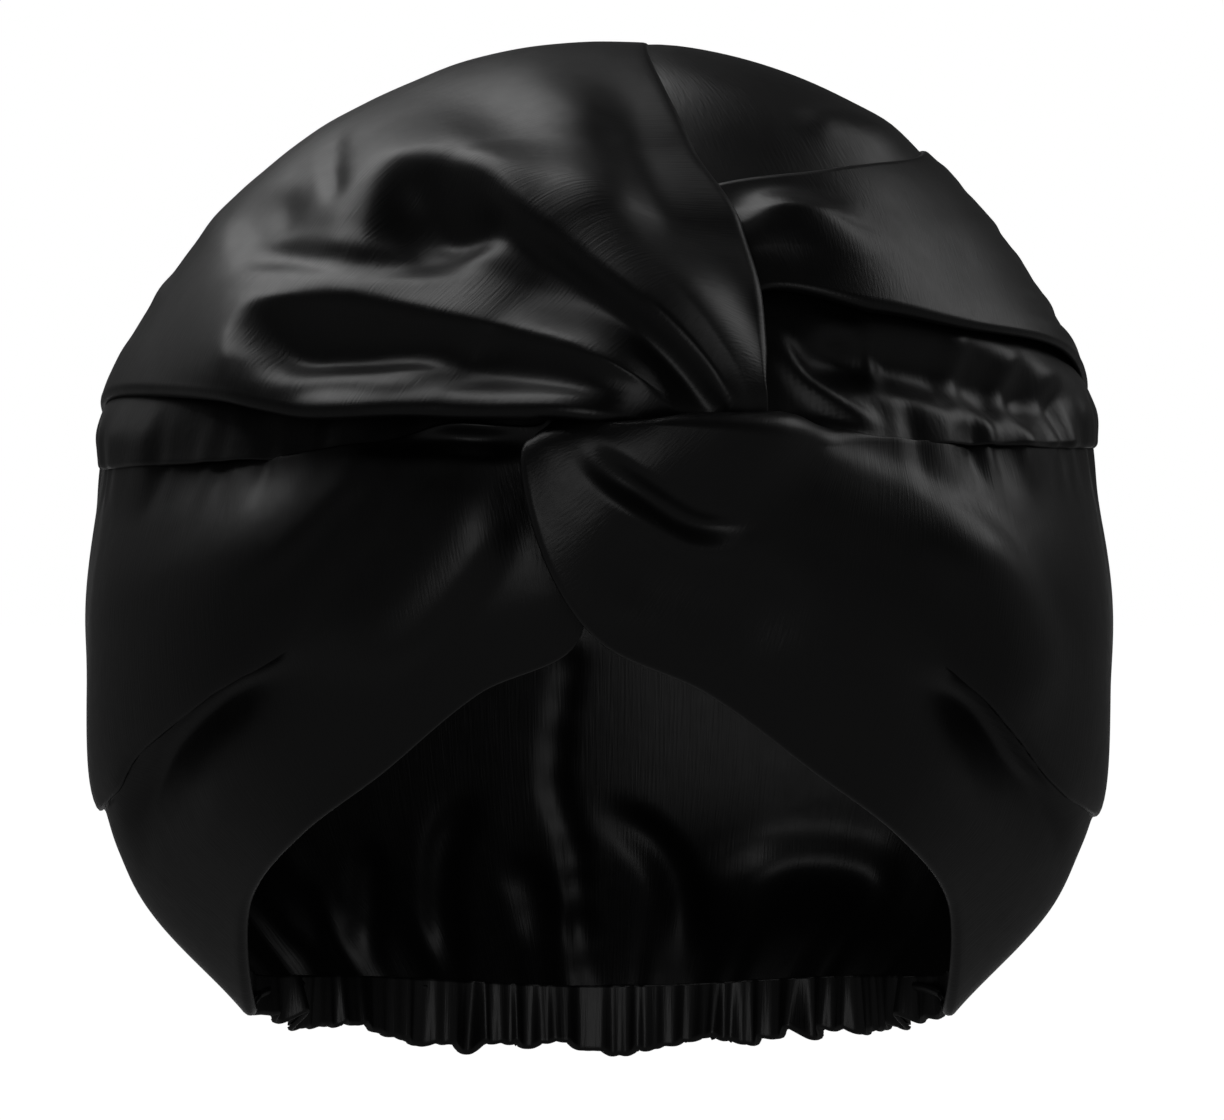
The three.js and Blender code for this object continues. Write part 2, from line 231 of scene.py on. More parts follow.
# A smooth run through four knots, spaced by how far apart they are.
def runThrough(p0, p1, p2, p3, w):
    gaps = [np.maximum(((b - a) ** 2).sum(-1, keepdims=True) ** 0.25, leastGap)
            for a, b in ((p0, p1), (p1, p2), (p2, p3))]
    leave = ((p1 - p0) / gaps[0] - (p2 - p0) / (gaps[0] + gaps[1]) + (p2 - p1) / gaps[1]) * gaps[1]
    reach = ((p2 - p1) / gaps[1] - (p3 - p1) / (gaps[1] + gaps[2]) + (p3 - p2) / gaps[2]) * gaps[1]
    bend = 3 * (p2 - p1) - 2 * leave - reach
    twist = 2 * (p1 - p2) + leave + reach
    return p1 + w * (leave + w * (bend + w * twist))


# The sections of a cloth between its rows, at places counted in rows.
def sectionsAt(rows, place, closed):
    count = len(rows)
    if closed:
        first = np.floor(place).astype(int)
        pick = [rows[(first + k) % count] for k in (-1, 0, 1, 2)]
    else:
        first = np.clip(np.floor(place).astype(int), 0, count - 2)
        longer = np.concatenate([2 * rows[:1] - rows[1:2], rows, 2 * rows[-1:] - rows[-2:-1]])
        pick = [longer[first + k] for k in (0, 1, 2, 3)]
    return runThrough(*pick, (place - first)[:, None, None])


# Points across sections, from 0 at the lower edge to 1 at the upper.
def pointsAcross(sections, across):
    place = across * (sections.shape[1] - 1)
    first = np.clip(np.floor(place).astype(int), 0, sections.shape[1] - 2)
    longer = np.concatenate([2 * sections[:, :1] - sections[:, 1:2], sections,
                             2 * sections[:, -1:] - sections[:, -2:-1]], 1)
    each = np.arange(len(across))
    pick = [longer[each, first + k] for k in (0, 1, 2, 3)]
    return runThrough(*pick, (place - first)[:, None])


# Values eased between the rows and across the sections of a table.
def easedAcross(table, place, across):
    row = np.clip(np.floor(place).astype(int), 0, len(table) - 2)
    down = across * (table.shape[1] - 1)
    column = np.clip(np.floor(down).astype(int), 0, table.shape[1] - 2)
    v = place - row
    v = v * v * (3 - 2 * v)
    w = down - column
    w = w * w * (3 - 2 * w)
    low = table[row, column] * (1 - v) + table[row + 1, column] * v
    high = table[row, column + 1] * (1 - v) + table[row + 1, column + 1] * v
    return low * (1 - w) + high * w


# Which way a grid of points faces: away from the head when its columns run round and its rows run up.
def facing(points, closed):
    if closed:
        along = np.roll(points[:-1], -1, 0) - np.roll(points[:-1], 1, 0)
        along = np.concatenate([along, along[:1]])
    else:
        along = np.gradient(points, axis=0)
    normal = np.cross(along, np.gradient(points, axis=1))
    return normal / (np.linalg.norm(normal, axis=-1, keepdims=True) + tiny)


# Evens out a relief over the grid, so that no fold has a crack along its middle.
def softened(relief, passes, closed):
    for _ in range(passes):
        if closed:
            ring = relief[:-1]
            ring = (np.roll(ring, 1, 0) + 2 * ring + np.roll(ring, -1, 0)) / 4
            relief = np.concatenate([ring, ring[:1]])
        else:
            wide = np.concatenate([relief[:1], relief, relief[-1:]])
            relief = (wide[:-2] + 2 * wide[1:-1] + wide[2:]) / 4
        tall = np.concatenate([relief[:, :1], relief, relief[:, -1:]], 1)
        relief = (tall[:, :-2] + 2 * tall[:, 1:-1] + tall[:, 2:]) / 4
    return relief


# Points as the picture plane sees them, so that a crease can be laid where it shows.
def pictured(points):
    eye = np.array(studio["cameraAt"])
    away = points[..., 1] - eye[1]
    return eye[[0, 2]] + (points[..., [0, 2]] - eye[[0, 2]]) * (-eye[1] / away)[..., None]


# How every crease is drawn.
creaseForm = {
    "rowFade": 0.7,          # it fades out over this many rows at the limits of those it may touch
    "steps": 16,             # points along its path from one knot to the next
    "taper": (0.3, 0.3),     # shares of its length over which it rises and dies away, unless it has its own
    "turnover": 2.5,         # how soon its reach to one side becomes its reach to the other
    "ridge": 1.4,            # how sharp a firm crease is
    "least": 1e-6,           # mm, so that a point on its path still has a distance from it
}


# Which points a crease moves, by what share of its full size, and which way its path runs there.
def creaseShare(crease, flat, place):
    knots = np.array(crease["path"], float)
    widest = max(crease["left"], crease["right"])
    inside = np.minimum(place - crease["rows"][0], crease["rows"][1] - place)
    limit = smooth(inside / creaseForm["rowFade"])
    near = limit > 0
    near &= ((flat > knots.min(0) - widest) & (flat < knots.max(0) + widest)).all(-1)
    spot = flat[near]
    best = np.zeros(len(spot))
    runs = np.zeros_like(spot)
    steps = creaseForm["steps"] * (len(knots) - 1)
    line = sectionsAt(knots[:, None, :], np.linspace(0, len(knots) - 1, steps), False)[:, 0]
    ahead = np.gradient(line, axis=0)
    ahead /= np.linalg.norm(ahead, axis=1, keepdims=True)
    share = np.linspace(0, 1, steps)
    start, end = crease.get("taper", creaseForm["taper"])
    fade = smooth(share / start) * smooth((1 - share) / end)
    narrow = 1 + (crease.get("narrow", 1) - 1) * share
    firm = crease.get("firm", 0)
    for middle, way, strength, breadth in zip(line, ahead, fade, narrow):
        aside = spot - middle
        apart = np.linalg.norm(aside, axis=1) + creaseForm["least"]
        lean = (way[0] * aside[:, 1] - way[1] * aside[:, 0]) / apart
        side = 0.5 + 0.5 * np.clip(creaseForm["turnover"] * lean, -1, 1)
        reach = breadth * (crease["right"] + (crease["left"] - crease["right"]) * side)
        nearness = np.clip(1 - apart / reach, 0, 1)
        moved = strength * (firm * nearness ** creaseForm["ridge"] + (1 - firm) * smooth(nearness))
        runs[moved > best] = way
        best = np.maximum(best, moved)
    return near, best * limit[near], runs


# How far all the creases of a cloth lift it.
def creaseLift(creases, points, place):
    total = np.zeros(place.shape)
    flat = pictured(points)
    for crease in creases:
        near, share = creaseShare(crease, flat, place)[:2]
        total[near] += crease["height"] * share
    return total


# How far pleats slide the cloth over itself, towards the left of their paths.
def pleatSlide(pleats, points, place, normal):
    total = np.zeros_like(points)
    flat = pictured(points)
    for pleat in pleats:
        near, share, runs = creaseShare(pleat, flat, place)
        out = normal[near]
        aside = np.stack([-runs[:, 1], np.zeros(len(runs)), runs[:, 0]], -1)
        aside = aside - out * (aside * out).sum(-1, keepdims=True)
        aside /= np.linalg.norm(aside, axis=-1, keepdims=True) + tiny
        total[near] += pleat["slide"] * share[:, None] * aside
    return total


# How far along a line of points each of them lies.
def runAlong(line):
    return np.concatenate([[0], np.cumsum(np.linalg.norm(np.diff(line, axis=0), axis=1))])


# Places along a cloth that lie evenly far apart, halfway up it.
def evenPlaces(surface, spans, columns, samples=2000):
    place = np.linspace(0, spans, samples)
    run = runAlong(surface(place, np.full_like(place, 0.5)))
    return np.interp(np.linspace(0, run[-1], columns + 1), run, place)


# Rolls the first and last rows of a grid under, as hems and turned edges are.
def hemmed(points, place, cloth, closed):
    normal = facing(points, closed)
    turns = np.linspace(0, 1, cloth["hemSteps"] + 1)[1:] * np.radians(cloth["hemTurn"])
    parts = [points]
    for edge, inner in ((0, 1), (-1, -2)):
        if edge not in cloth["hems"]:
            continue
        radius = np.interp(place[:, edge], *zip(*cloth["hems"][edge]))[:, None]
        outward = points[:, edge] - points[:, inner]
        outward /= np.linalg.norm(outward, axis=1, keepdims=True) + tiny
        rolls = [points[:, edge] + radius * (outward * np.sin(t) - normal[:, edge] * (1 - np.cos(t)))
                 for t in turns]
        if edge == 0:
            parts.insert(0, np.stack(rolls[::-1], 1))
        else:
            parts.append(np.stack(rolls, 1))
    return np.concatenate(parts, 1)


# The points of a sheet in metres: its surface, moved by its folds and pleats, with its edges rolled.
def foldedPoints(cloth, spans, surface, relief, closed):
    shares = np.linspace(0, 1, cloth["facesAcross"] + 1) ** cloth.get("crowding", 1)
    place, across = np.meshgrid(evenPlaces(surface, spans, cloth["facesAlong"]), shares, indexing="ij")
    points = surface(place.ravel(), across.ravel()).reshape(*place.shape, 3)
    lift = softened(relief(points, place, across), cloth["softness"], closed)
    normal = facing(points, closed)
    slide = pleatSlide(cloth.get("pleats", []), points, place, normal)
    points = points + normal * lift[..., None] + slide
    return hemmed(points, place, cloth, closed) * mm


# A sheet of cloth: a grid laid on its points, with its thickness behind them.
def clothSheet(name, cloth, spans, surface, relief, closed=False):
    points = foldedPoints(cloth, spans, surface, relief, closed)
    columns, rows = points.shape[0] - 1, points.shape[1] - 1
    mesh = bpy.data.meshes.new(name)
    bm = bmesh.new()
    bm.loops.layers.uv.new("weave")
    bmesh.ops.create_grid(bm, x_segments=columns, y_segments=rows, size=0.5, calc_uvs=True)
    for vert in bm.verts:
        vert.co = points[round((vert.co.x + 0.5) * columns), round((vert.co.y + 0.5) * rows)]
    bmesh.ops.remove_doubles(bm, verts=bm.verts, dist=weldDistance)
    bm.faces.ensure_lookup_table()
    middle = bm.faces[len(bm.faces) // 2]
    middle.normal_update()
    outward = middle.normal.copy()
    bmesh.ops.recalc_face_normals(bm, faces=bm.faces)
    if middle.normal.dot(outward) < 0:
        bmesh.ops.reverse_faces(bm, faces=bm.faces)
    for face in bm.faces:
        face.smooth = True
    bm.to_mesh(mesh)
    bm.free()
    piece = bpy.data.objects.new(name, mesh)
    bpy.context.scene.collection.objects.link(piece)
    wall = piece.modifiers.new("wall", "SOLIDIFY")
    wall.thickness = cloth["thickness"] * mm
    wall.offset = -1
    print("made", name, len(mesh.polygons), "faces")
    return piece


# Turns about the head, from the front, as a share of a whole turn.
def turnShare(points):
    return np.arctan2(points[..., 0], -points[..., 1]) / (2 * np.pi)


# Stitches draw the cloth up unevenly on both sides of the crown's seam.
def puckerLift(points):
    turn = turnShare(points)
    apart = np.abs(points[..., 2] - seamAt(points[..., 0]))
    uneven = sum(share * wander(turn, waves, seed) for waves, share, seed in crownCloth["puckers"])
    return crownCloth["puckerDepth"] * uneven * smooth(1 - apart / crownCloth["puckerReach"])


# A way out from the head's middle, by its turn about the head and its tilt from straight up.
def crownWay(turn, tilt):
    return np.stack([np.sin(turn) * np.sin(tilt), -np.cos(turn) * np.sin(tilt), np.cos(tilt)], -1)


# The angle from the crown's top down to its seam, for turns about the head from the front.
def seamTilts(turns):
    low = np.zeros_like(turns)
    high = np.full_like(turns, np.pi / 2)
    for _ in range(crownCloth["seamHalvings"]):
        tilt = (low + high) / 2
        edge = seated(crownWay(turns, tilt), np.zeros_like(turns))
        above = edge[:, 2] > seamAt(edge[:, 0])
        low = np.where(above, tilt, low)
        high = np.where(above, high, tilt)
    return low


# How far the crown itself stands off its plain dome: over the seam and in the wedge between the arms.
def crownRise(points):
    middle = np.array(onTop(*crownCloth["puffAt"], 0)[:3])
    lengths = np.linalg.norm(points, axis=-1) * np.linalg.norm(middle)
    apart = np.arccos(np.clip(points @ middle / lengths, -1, 1))
    puff = crownCloth["puff"] * smooth(crownCloth["puffPlateau"] * (1 - apart / crownCloth["puffReach"]))
    above = points[..., 2] - seamAt(points[..., 0])
    lip = crownCloth["swellLip"] + (1 - crownCloth["swellLip"]) * above / crownCloth["swellPeak"]
    fade = 1 - (above - crownCloth["swellPeak"]) / (crownCloth["swellReach"] - crownCloth["swellPeak"])
    return puff + swellAt(points[..., 1]) * smooth(np.minimum(lip, fade))


def makeCrown():
    turns = np.linspace(0, 2 * np.pi, crownCloth["seamTurns"])
    tilts = seamTilts(turns)

    def domed(place, across):
        turn = place / crownCloth["rounds"] * 2 * np.pi
        lowest = np.interp(turn, turns, tilts)
        way = crownWay(turn, (1 - across) * lowest)
        return seated(way, crownRise(seated(way, np.zeros_like(turn))))

    def relief(points, place, across):
        return puckerLift(points) + creaseLift(crownCloth["creases"], points, place)

    return clothSheet("crownCloth", crownCloth, crownCloth["rounds"], domed, relief, True)


# Crown wrap: sections from its lower to its upper edge, along the left arm, the knot and the right arm.
# Its rows are counted in these sections. First the rows of its two arms, and the roll of both its edges.
wrapLeft = (0.2, 5.8)
wrapRight = (7.6, 11)
wrapRoll = [(0, 0.8), (1, 2.2), (4.5, 2.2), (5, 0.8), (7.5, 0.8), (9, 2.2), (11, 0.8)]

wrapCloth = {
    "thickness": 1.0,
    "facesAlong": 320,
    "facesAcross": 120,
    "hems": {0: wrapRoll, -1: wrapRoll},
    "hemTurn": 170,
    "hemSteps": 7,
    "softness": 3,
    "flat": (0.11, 0.4),
    "sewnRows": 0.7,         # over these rows the ends come down to the crown that they are sewn to
    "sewnGap": 0.8,          # how far off it they stay, in thicknesses of the cloth
    "gatherRows": 0.9,       # gathers rise and die away over these rows from the ends
    "gathers": 18,
    "gatherDepth": 0.4,
    "gatherDrift": 0.02,     # how far the gathers stray across the cloth along it
    "gatherSeed": 11,
    "sections": [
        [onSide(-1, 36, 47, 5), onSide(-1, 31, 86, 2.6), onTop(-50, 26, 2.6), onTop(11, 22, 4.4)],
        [onFront(-102, 57, 4), onFront(-88, 78, 3), onFront(-60, 104, 3), onFront(10, 129.5, 4.4)],
        [onFront(-66, 51, 8), onFront(-56, 71, 5), onFront(-34, 100, 5), onFront(19, 109, 4.5)],
        [onFront(-34, 50.5, 12), onFront(-24, 65, 9), onFront(-4, 89, 11), onFront(29.5, 91, 8)],
        [onFront(-3, 49.5, 20), onFront(4, 58, 18), onFront(18, 74, 16.5), onFront(34, 72, 13)],
        [onFront(19, 46, 14), onFront(23, 50, 15), onFront(30, 56, 14.5), onFront(35, 56, 14.5)],
        [onFront(31, 37, 11), onFront(32, 40, 12), onFront(34, 44, 13), onFront(36, 47.5, 13)],
        [onFront(31, 49, 4), onFront(28, 57, 3.5), onFront(24, 68, 3), onFront(20, 78, 3)],
        [onFront(33, 77, 4), onFront(28, 83, 3.5), onFront(23, 89, 3), onFront(17, 95, 3)],
        [onFront(60, 75, 7), onFront(58, 84, 7), onFront(55, 94, 6.5), onFront(51, 103, 6.5)],
        [onFront(86, 70, 4), onFront(83, 82, 3.5), onFront(79, 94, 4), onFront(71, 107, 4.8)],
        [onSide(1, 36, 49, 5), onSide(1, 32, 70, 3.2), onSide(1, 27, 91, 3.4), onTop(71, 23, 4.2)],
    ],
    "creases": [
        # Upper fold of the left arm: the ridge round its head, the ridge along its tail, its hollow.
        {"rows": wrapLeft, "path": [(-49, 82), (-50, 93), (-45, 103), (-36, 105), (-26, 100), (-16, 93)],
         "height": 7, "left": 24, "right": 20, "narrow": 0.6, "taper": (0.2, 0.25), "firm": 0.85},
        {"rows": wrapLeft, "path": [(-28, 101), (-14, 92), (-2, 83), (11, 73), (23, 60), (32, 46)],
         "height": 6, "left": 26, "right": 6, "narrow": 0.7, "taper": (0.15, 0.2), "firm": 0.7},
        {"rows": wrapLeft, "path": [(-46, 89), (-37, 91), (-27, 92), (-17, 90)],
         "height": -6, "left": 18, "right": 11, "narrow": 0.4, "taper": (0.2, 0.5), "firm": 0.4},
        # Lower fold of the left arm: its ridge and its hollow.
        {"rows": wrapLeft, "path": [(-78, 55), (-80, 64), (-76, 72), (-65, 75), (-44, 73), (-24, 69),
                                    (0, 62), (15, 52), (26, 46)],
         "height": 6, "left": 22, "right": 16, "narrow": 0.35, "taper": (0.1, 0.25), "firm": 0.85},
        {"rows": wrapLeft, "path": [(-74, 63), (-62, 63), (-45, 65), (-24, 63)],
         "height": -2.5, "left": 14, "right": 9, "narrow": 0.5, "taper": (0.2, 0.5), "firm": 0.4},
        # The swell before the left arm turns down to its right edge.
        {"rows": wrapLeft, "path": [(-10, 124), (-5, 110), (3, 95), (12, 80)],
         "height": 4, "left": 18, "right": 27, "narrow": 0.6, "taper": (0.3, 0.5)},
        # Small creases of the left arm, and the roll of its lower edge.
        {"rows": wrapLeft, "path": [(-84, 85), (-72, 86), (-52, 82), (-36, 85), (-25, 89)],
         "height": -1.8, "left": 5, "right": 6},
        {"rows": wrapLeft, "path": [(-81, 90), (-75, 95), (-68, 97)], "height": -1.6, "left": 8, "right": 8},
        {"rows": wrapLeft, "path": [(-89, 55), (-67, 51), (-45, 51), (-22, 51), (0, 50), (20, 48)],
         "height": 3, "left": 9, "right": 5},
        {"rows": wrapLeft, "path": [(-60, 115), (-59, 105), (-57, 95)],
         "height": -1.6, "left": 3.5, "right": 3},
        {"rows": wrapLeft, "path": [(-77, 56), (-62, 59), (-47, 58), (-33, 60)],
         "height": 1.6, "left": 5, "right": 5},
        # The fold where the right arm comes out of the knot.
        {"rows": wrapRight, "path": [(31, 95), (41, 95), (52, 93), (62, 90)],
         "height": 5, "left": 8, "right": 14, "taper": (0.35, 0.6), "firm": 0.5},
    ],
}


def makeWrap():
    table = np.array(wrapCloth["sections"])
    spans = len(table) - 1

    def draped(place, across):
        points = pointsAcross(sectionsAt(table[..., :3], place, False), across)
        lift = easedAcross(table[..., 3], place, across)
        sewn = smooth(np.minimum(place, spans - place) / wrapCloth["sewnRows"])
        flush = crownRise(points) + wrapCloth["thickness"] * wrapCloth["sewnGap"]
        return seated(points, lift * sewn + flush * (1 - sewn))

    def relief(points, place, across):
        ends = smooth(np.minimum(place, spans - place) / wrapCloth["gatherRows"])
        strayed = across + wrapCloth["gatherDrift"] * place
        gathers = wrapCloth["gatherDepth"] * wander(strayed, wrapCloth["gathers"], wrapCloth["gatherSeed"])
        hump = 4 * ends * (1 - ends)  # 0 at the ends, 1 halfway up the ease, 0 after it
        return creaseLift(wrapCloth["creases"], points, place) + gathers * hump

    return clothSheet("wrapCloth", wrapCloth, spans, draped, relief)


# Front band: its sections from the middle of the back along the left side to the temple, then the knot.
# The right side mirrors the left. Its rows are counted in these sections, round to the back again.
# First the rows of its temples and its nape, and where the lips of the temples' pleats show in the picture.
leftTemple = (2.3, 7.5)
rightTemple = (12.5, 17.6)
insideNape = (17, 23)
leftLip = [(-62, 6), (-74, -1), (-90, -6), (-100, -13), (-107, -20), (-111, -29), (-113, -39)]
rightLip = [(68, 3), (82, -5), (91, -9), (97, -15), (103, -23), (109, -30), (112, -39)]

bandCloth = {
    "thickness": 1.0,
    "facesAlong": 520,
    "facesAcross": 80,
    "hems": {0: [(0, 1.6), (20, 1.6)],
             -1: [(0, 0.5), (9, 0.5), (9.8, 4.5), (12.5, 5), (13.3, 4.5), (14.2, 0.5), (20, 0.5)]},
    "hemTurn": 170,
    "hemSteps": 6,
    "softness": 2,
    "flat": (0.13, 0.76),
    "creaseStart": 2.3,      # creases count the rows from here on, past the middle of the back
    "backSeam": [(-4, -78), (-6, -47), (-10, -34), (-9, -18), (-6, -4), (-2, 42)],
    "backRows": 2,           # the back seam puckers this many rows on each side of it
    "backFoot": -90.0,       # its puckers are counted from this height up, over this run
    "backRun": 140.0,
    "backPuckers": 44,
    "backPuckerDepth": 0.6,
    "backPuckerReach": 6.0,
    "backSeed": 13,
    "napeRows": 3,           # the elastic gathers this many rows on each side of the back
    "napeGathers": 52,
    "napeDepth": 2.2,
    "napeReach": 0.45,       # share of the band's depth that the gathers reach up
    "napeFade": 8,           # they die away over one part in 8 of the nape at each end
    "napeSeed": 7,
    "seamRows": (6.2, 13.8),  # stitches draw up the rows outside these, clear of the knot
    "seamGathers": 80,
    "seamDepth": 1.3,
    "seamFrom": 0.55,        # shares of the band's depth where those gathers begin, and over which they rise
    "seamRise": 0.4,
    "seamBehind": 100.0,     # they deepen over this length from the front to the back
    "seamSeed": 5,
    "looseRows": 2,          # rows right of the knot whose upper edge isn't tucked under the crown's seam
    "back": [(0, 86, -85), (0, 113, -45), (0, 123.5, 4), underSeam(0, 118)],
    "side": [
        [(-57, 66, -82), (-80, 82, -46), (-88, 86.5, 2), underSeam(-85, 83)],
        [(-79, 24, -81), (-100, 27, -54), (-114.5, 28, 0), underSeam(-111, 26)],
        [(-80, 4, -84), (-106, -1, -53), (-115.3, -2, 0), underSeam(-112, -3)],
        [(-79, -45, -57), (-103, -42, -34), (-109, -44, 3), underSeam(-102, -46)],
        [(-66, -75, -41), (-80, -82, -15), (-84, -84, 14), (-79.5, -75.5, 39.8)],
        [(-47.5, -91, -27.5), (-53, -102, -4), (-56, -104, 20), (-58, -96.5, 41.8)],
    ],
    "knot": [
        [(-26, -102, -10), (-28, -109.5, 7), (-31, -112, 27), (-34, -109.5, 47)],
        [(-4, -106, 2), (-4, -111, 16), (-8, -112.5, 33), (-12, -112, 47)],
        [(-9, -116, 43), (-9.5, -117, 45.5), (-10, -117, 48.5), (-10, -117, 51.5)],
        [(-15.5, -126, 43), (-12, -127, 44.5), (-6, -127, 46), (-1, -126.5, 47.5)],
        [(-11, -127, 20), (-2, -128, 27), (8, -128.5, 37), (18, -126.5, 46.5)],
        [(1, -119, 1.5), (11, -121, 13), (23, -122, 28), (38, -119, 45)],
        [(24, -107, -10), (32, -113, 6), (41, -113, 25), (50, -104, 43.5)],
    ],
    "creases": [
        # Left arm: two ridges that run out of the knot, and the hollow under the wrap.
        {"rows": (3, 9), "path": [(-50, 42), (-60, 32), (-70, 22), (-84, 9)],
         "height": 1.6, "left": 6, "right": 22, "firm": 0.6},
        {"rows": (3, 9), "path": [(-21, 37), (-31, 19), (-43, 4), (-58, -8)],
         "height": 3.5, "left": 12, "right": 20},
        {"rows": (4, 9), "path": [(-58, 46), (-38, 46), (-14, 45)], "height": -5, "left": 5, "right": 6},
        # Pleats at the temples: the lip of the upper layer, then the hollow that it lies over.
        {"rows": leftTemple, "path": leftLip,
         "height": 3, "left": 3, "right": 20, "firm": 0.85, "taper": (0.4, 0.3)},
        {"rows": leftTemple, "path": [(-59, 1), (-71, -6), (-86, -12), (-95, -19), (-101, -26), (-105, -35),
                                      (-107, -46)],
         "height": -7, "left": 22, "right": 4, "firm": 0.2, "taper": (0.45, 0.25)},
        {"rows": rightTemple, "path": rightLip,
         "height": 3, "left": 20, "right": 3, "firm": 0.85, "taper": (0.4, 0.3)},
        {"rows": rightTemple, "path": [(65, -2), (79, -10), (87, -15), (92, -21), (97, -29), (103, -36),
                                       (107, -46)],
         "height": -7, "left": 4, "right": 22, "firm": 0.2, "taper": (0.45, 0.25)},
        {"rows": (13, 18.5), "path": [(77, 29), (92, 9), (101, -11)],
         "height": 2.5, "left": 12, "right": 14},
        # Knot and right arm: a groove with its ridge, a hollow, the fold along the upper edge.
        {"rows": (9.4, 17), "path": [(-6, 45), (9, 33), (23, 25), (34, 24)],
         "height": -2.8, "left": 6, "right": 6},
        {"rows": (9.4, 17), "path": [(1, 35), (20, 22), (35, 24)], "height": 1.5, "left": 4, "right": 7},
        {"rows": (9.4, 17), "path": [(2, 18), (23, 11), (45, 0)], "height": -2.5, "left": 16, "right": 16},
        {"rows": (9.4, 18), "path": [(0, 47), (20, 47), (36, 45), (52, 39), (74, 29), (90, 17), (101, 0)],
         "height": 1.5, "left": 9, "right": 20, "taper": (0.15, 0.4)},
        # Inside of the nape: the back seam and the folds beside it.
        {"rows": insideNape, "path": [(-6, -4), (-9, -18), (-10, -34), (-6, -47), (-4, -78)],
         "height": -1.8, "left": 4, "right": 4, "taper": (0.1, 0.1)},
        {"rows": insideNape, "path": [(-29, -34), (-36, -47), (-37, -63), (-34, -76)],
         "height": -3, "left": 8, "right": 4},
        {"rows": insideNape, "path": [(0, -36), (14, -47), (20, -58), (21, -76)],
         "height": -3, "left": 4, "right": 8},
        # Inside of the nape: the arch on the right, then short folds on the left.
        {"rows": insideNape, "path": [(22, -64), (30, -55), (42, -50), (58, -51), (72, -60)],
         "height": 4, "left": 8, "right": 20, "firm": 0.2, "taper": (0.25, 0.25)},
        {"rows": insideNape, "path": [(-67, -54), (-66, -65), (-65, -76)],
         "height": -2.5, "left": 5, "right": 5},
        {"rows": insideNape, "path": [(-52, -47), (-53, -60), (-53, -75)],
         "height": -2.5, "left": 5, "right": 5},
        {"rows": insideNape, "path": [(-19, -52), (-15, -58), (-14, -67)],
         "height": -2, "left": 7, "right": 7},
    ],
    # The upper layers of the pleats slide over the lower ones by this much.
    "pleats": [
        {"rows": leftTemple, "path": leftLip, "slide": 8, "left": 5, "right": 24, "taper": (0.45, 0.25)},
        {"rows": rightTemple, "path": rightLip, "slide": -8, "left": 24, "right": 5, "taper": (0.45, 0.25)},
    ],
}


def bandSections():
    near = np.array(bandCloth["side"], float)
    far = near[::-1] * (-1, 1, 1)
    for i, row in enumerate(far):
        if i < bandCloth["looseRows"]:
            row[3, 2] += 2 * crownCloth["seamTilt"] * row[3, 0]
        else:
            row[3] = underSeam(*row[3, :2])
    return np.concatenate([[bandCloth["back"]], near, bandCloth["knot"], far])


def makeBand():
    table = bandSections()
    spans = len(table)

    def hung(place, across):
        return pointsAcross(sectionsAt(table, np.mod(place, spans), True), across)

    def backPuckers(points, place):
        height = points[..., 2]
        seamX = np.interp(height, *zip(*((z, x) for x, z in bandCloth["backSeam"])))
        fromSeam = np.abs(points[..., 0] - seamX) / bandCloth["backPuckerReach"]
        up = (height - bandCloth["backFoot"]) / bandCloth["backRun"]
        drawn = wander(up, bandCloth["backPuckers"], bandCloth["backSeed"]) * smooth(1 - fromSeam)
        atBack = np.minimum(place, spans - place) < bandCloth["backRows"]
        return np.where(atBack, bandCloth["backPuckerDepth"] * drawn, 0)

    def napeGathers(place, across):
        nape = np.mod(place + bandCloth["napeRows"], spans) / (2 * bandCloth["napeRows"])
        wave = wander(nape, bandCloth["napeGathers"], bandCloth["napeSeed"])
        gathers = bandCloth["napeDepth"] * wave * smooth(1 - across / bandCloth["napeReach"])
        ends = bandCloth["napeFade"]
        return np.where(nape < 1, gathers * smooth(nape * ends) * smooth((1 - nape) * ends), 0)

    def seamGathers(points, across):
        wave = wander(turnShare(points), bandCloth["seamGathers"], bandCloth["seamSeed"])
        high = smooth((across - bandCloth["seamFrom"]) / bandCloth["seamRise"])
        return bandCloth["seamDepth"] * wave * high * smooth(0.5 + points[..., 1] / bandCloth["seamBehind"])

    def relief(points, place, across):
        counted = np.where(place < bandCloth["creaseStart"], place + spans, place)
        lift = creaseLift(bandCloth["creases"], points, counted)
        lift = lift + backPuckers(points, place) + napeGathers(place, across)
        left, right = bandCloth["seamRows"]
        clear = smooth(np.maximum(left - place, place - right))
        return lift + clear * (puckerLift(points) + seamGathers(points, across))

    return clothSheet("bandCloth", bandCloth, spans, hung, relief, True)


# Nape casing: a tunnel gathered by the elastic in it, hung inside the band's nape edge.
casingCloth = {
    "thickness": 1.6,
    "heights": [(0, 7.5), (0.18, 11.1), (0.3, 13.7), (0.5, 14.5)],  # from an end to the middle of the nape
    "tuck": 4.0,             # how far its upper edge reaches up inside the band
    "gathers": [(52, 1.0, 7), (104, 0.45, 8)],  # waves along it, their share and their seed
    "gatherDepth": 2.8,
    "gatherTop": 0.35,       # how much of the gathers' depth is left at its upper edge
    "scallop": 2.0,
    "inside": 5.2,           # how far inside the band it hangs, and how far at its ends
    "endInside": 1.5,
    "endFade": 7,            # its gathers die away over one part in 7 of its length at each end
    "middle": 10.0,          # the nape curves about a point this far behind the head's middle
    "facesAlong": 640,
    "facesAcross": 24,
    "hems": {0: [(0, 0.8), (1, 0.8)]},
    "hemTurn": 170,
    "hemSteps": 4,
    "softness": 1,
    "flat": (0.0185, 0.28),
    "samples": 400,          # places at which the nape's curve is worked out
    "half": [(-80, 14, -79), (-79, 28, -80.5), (-57, 66, -82), (0, 86, -85)],
}


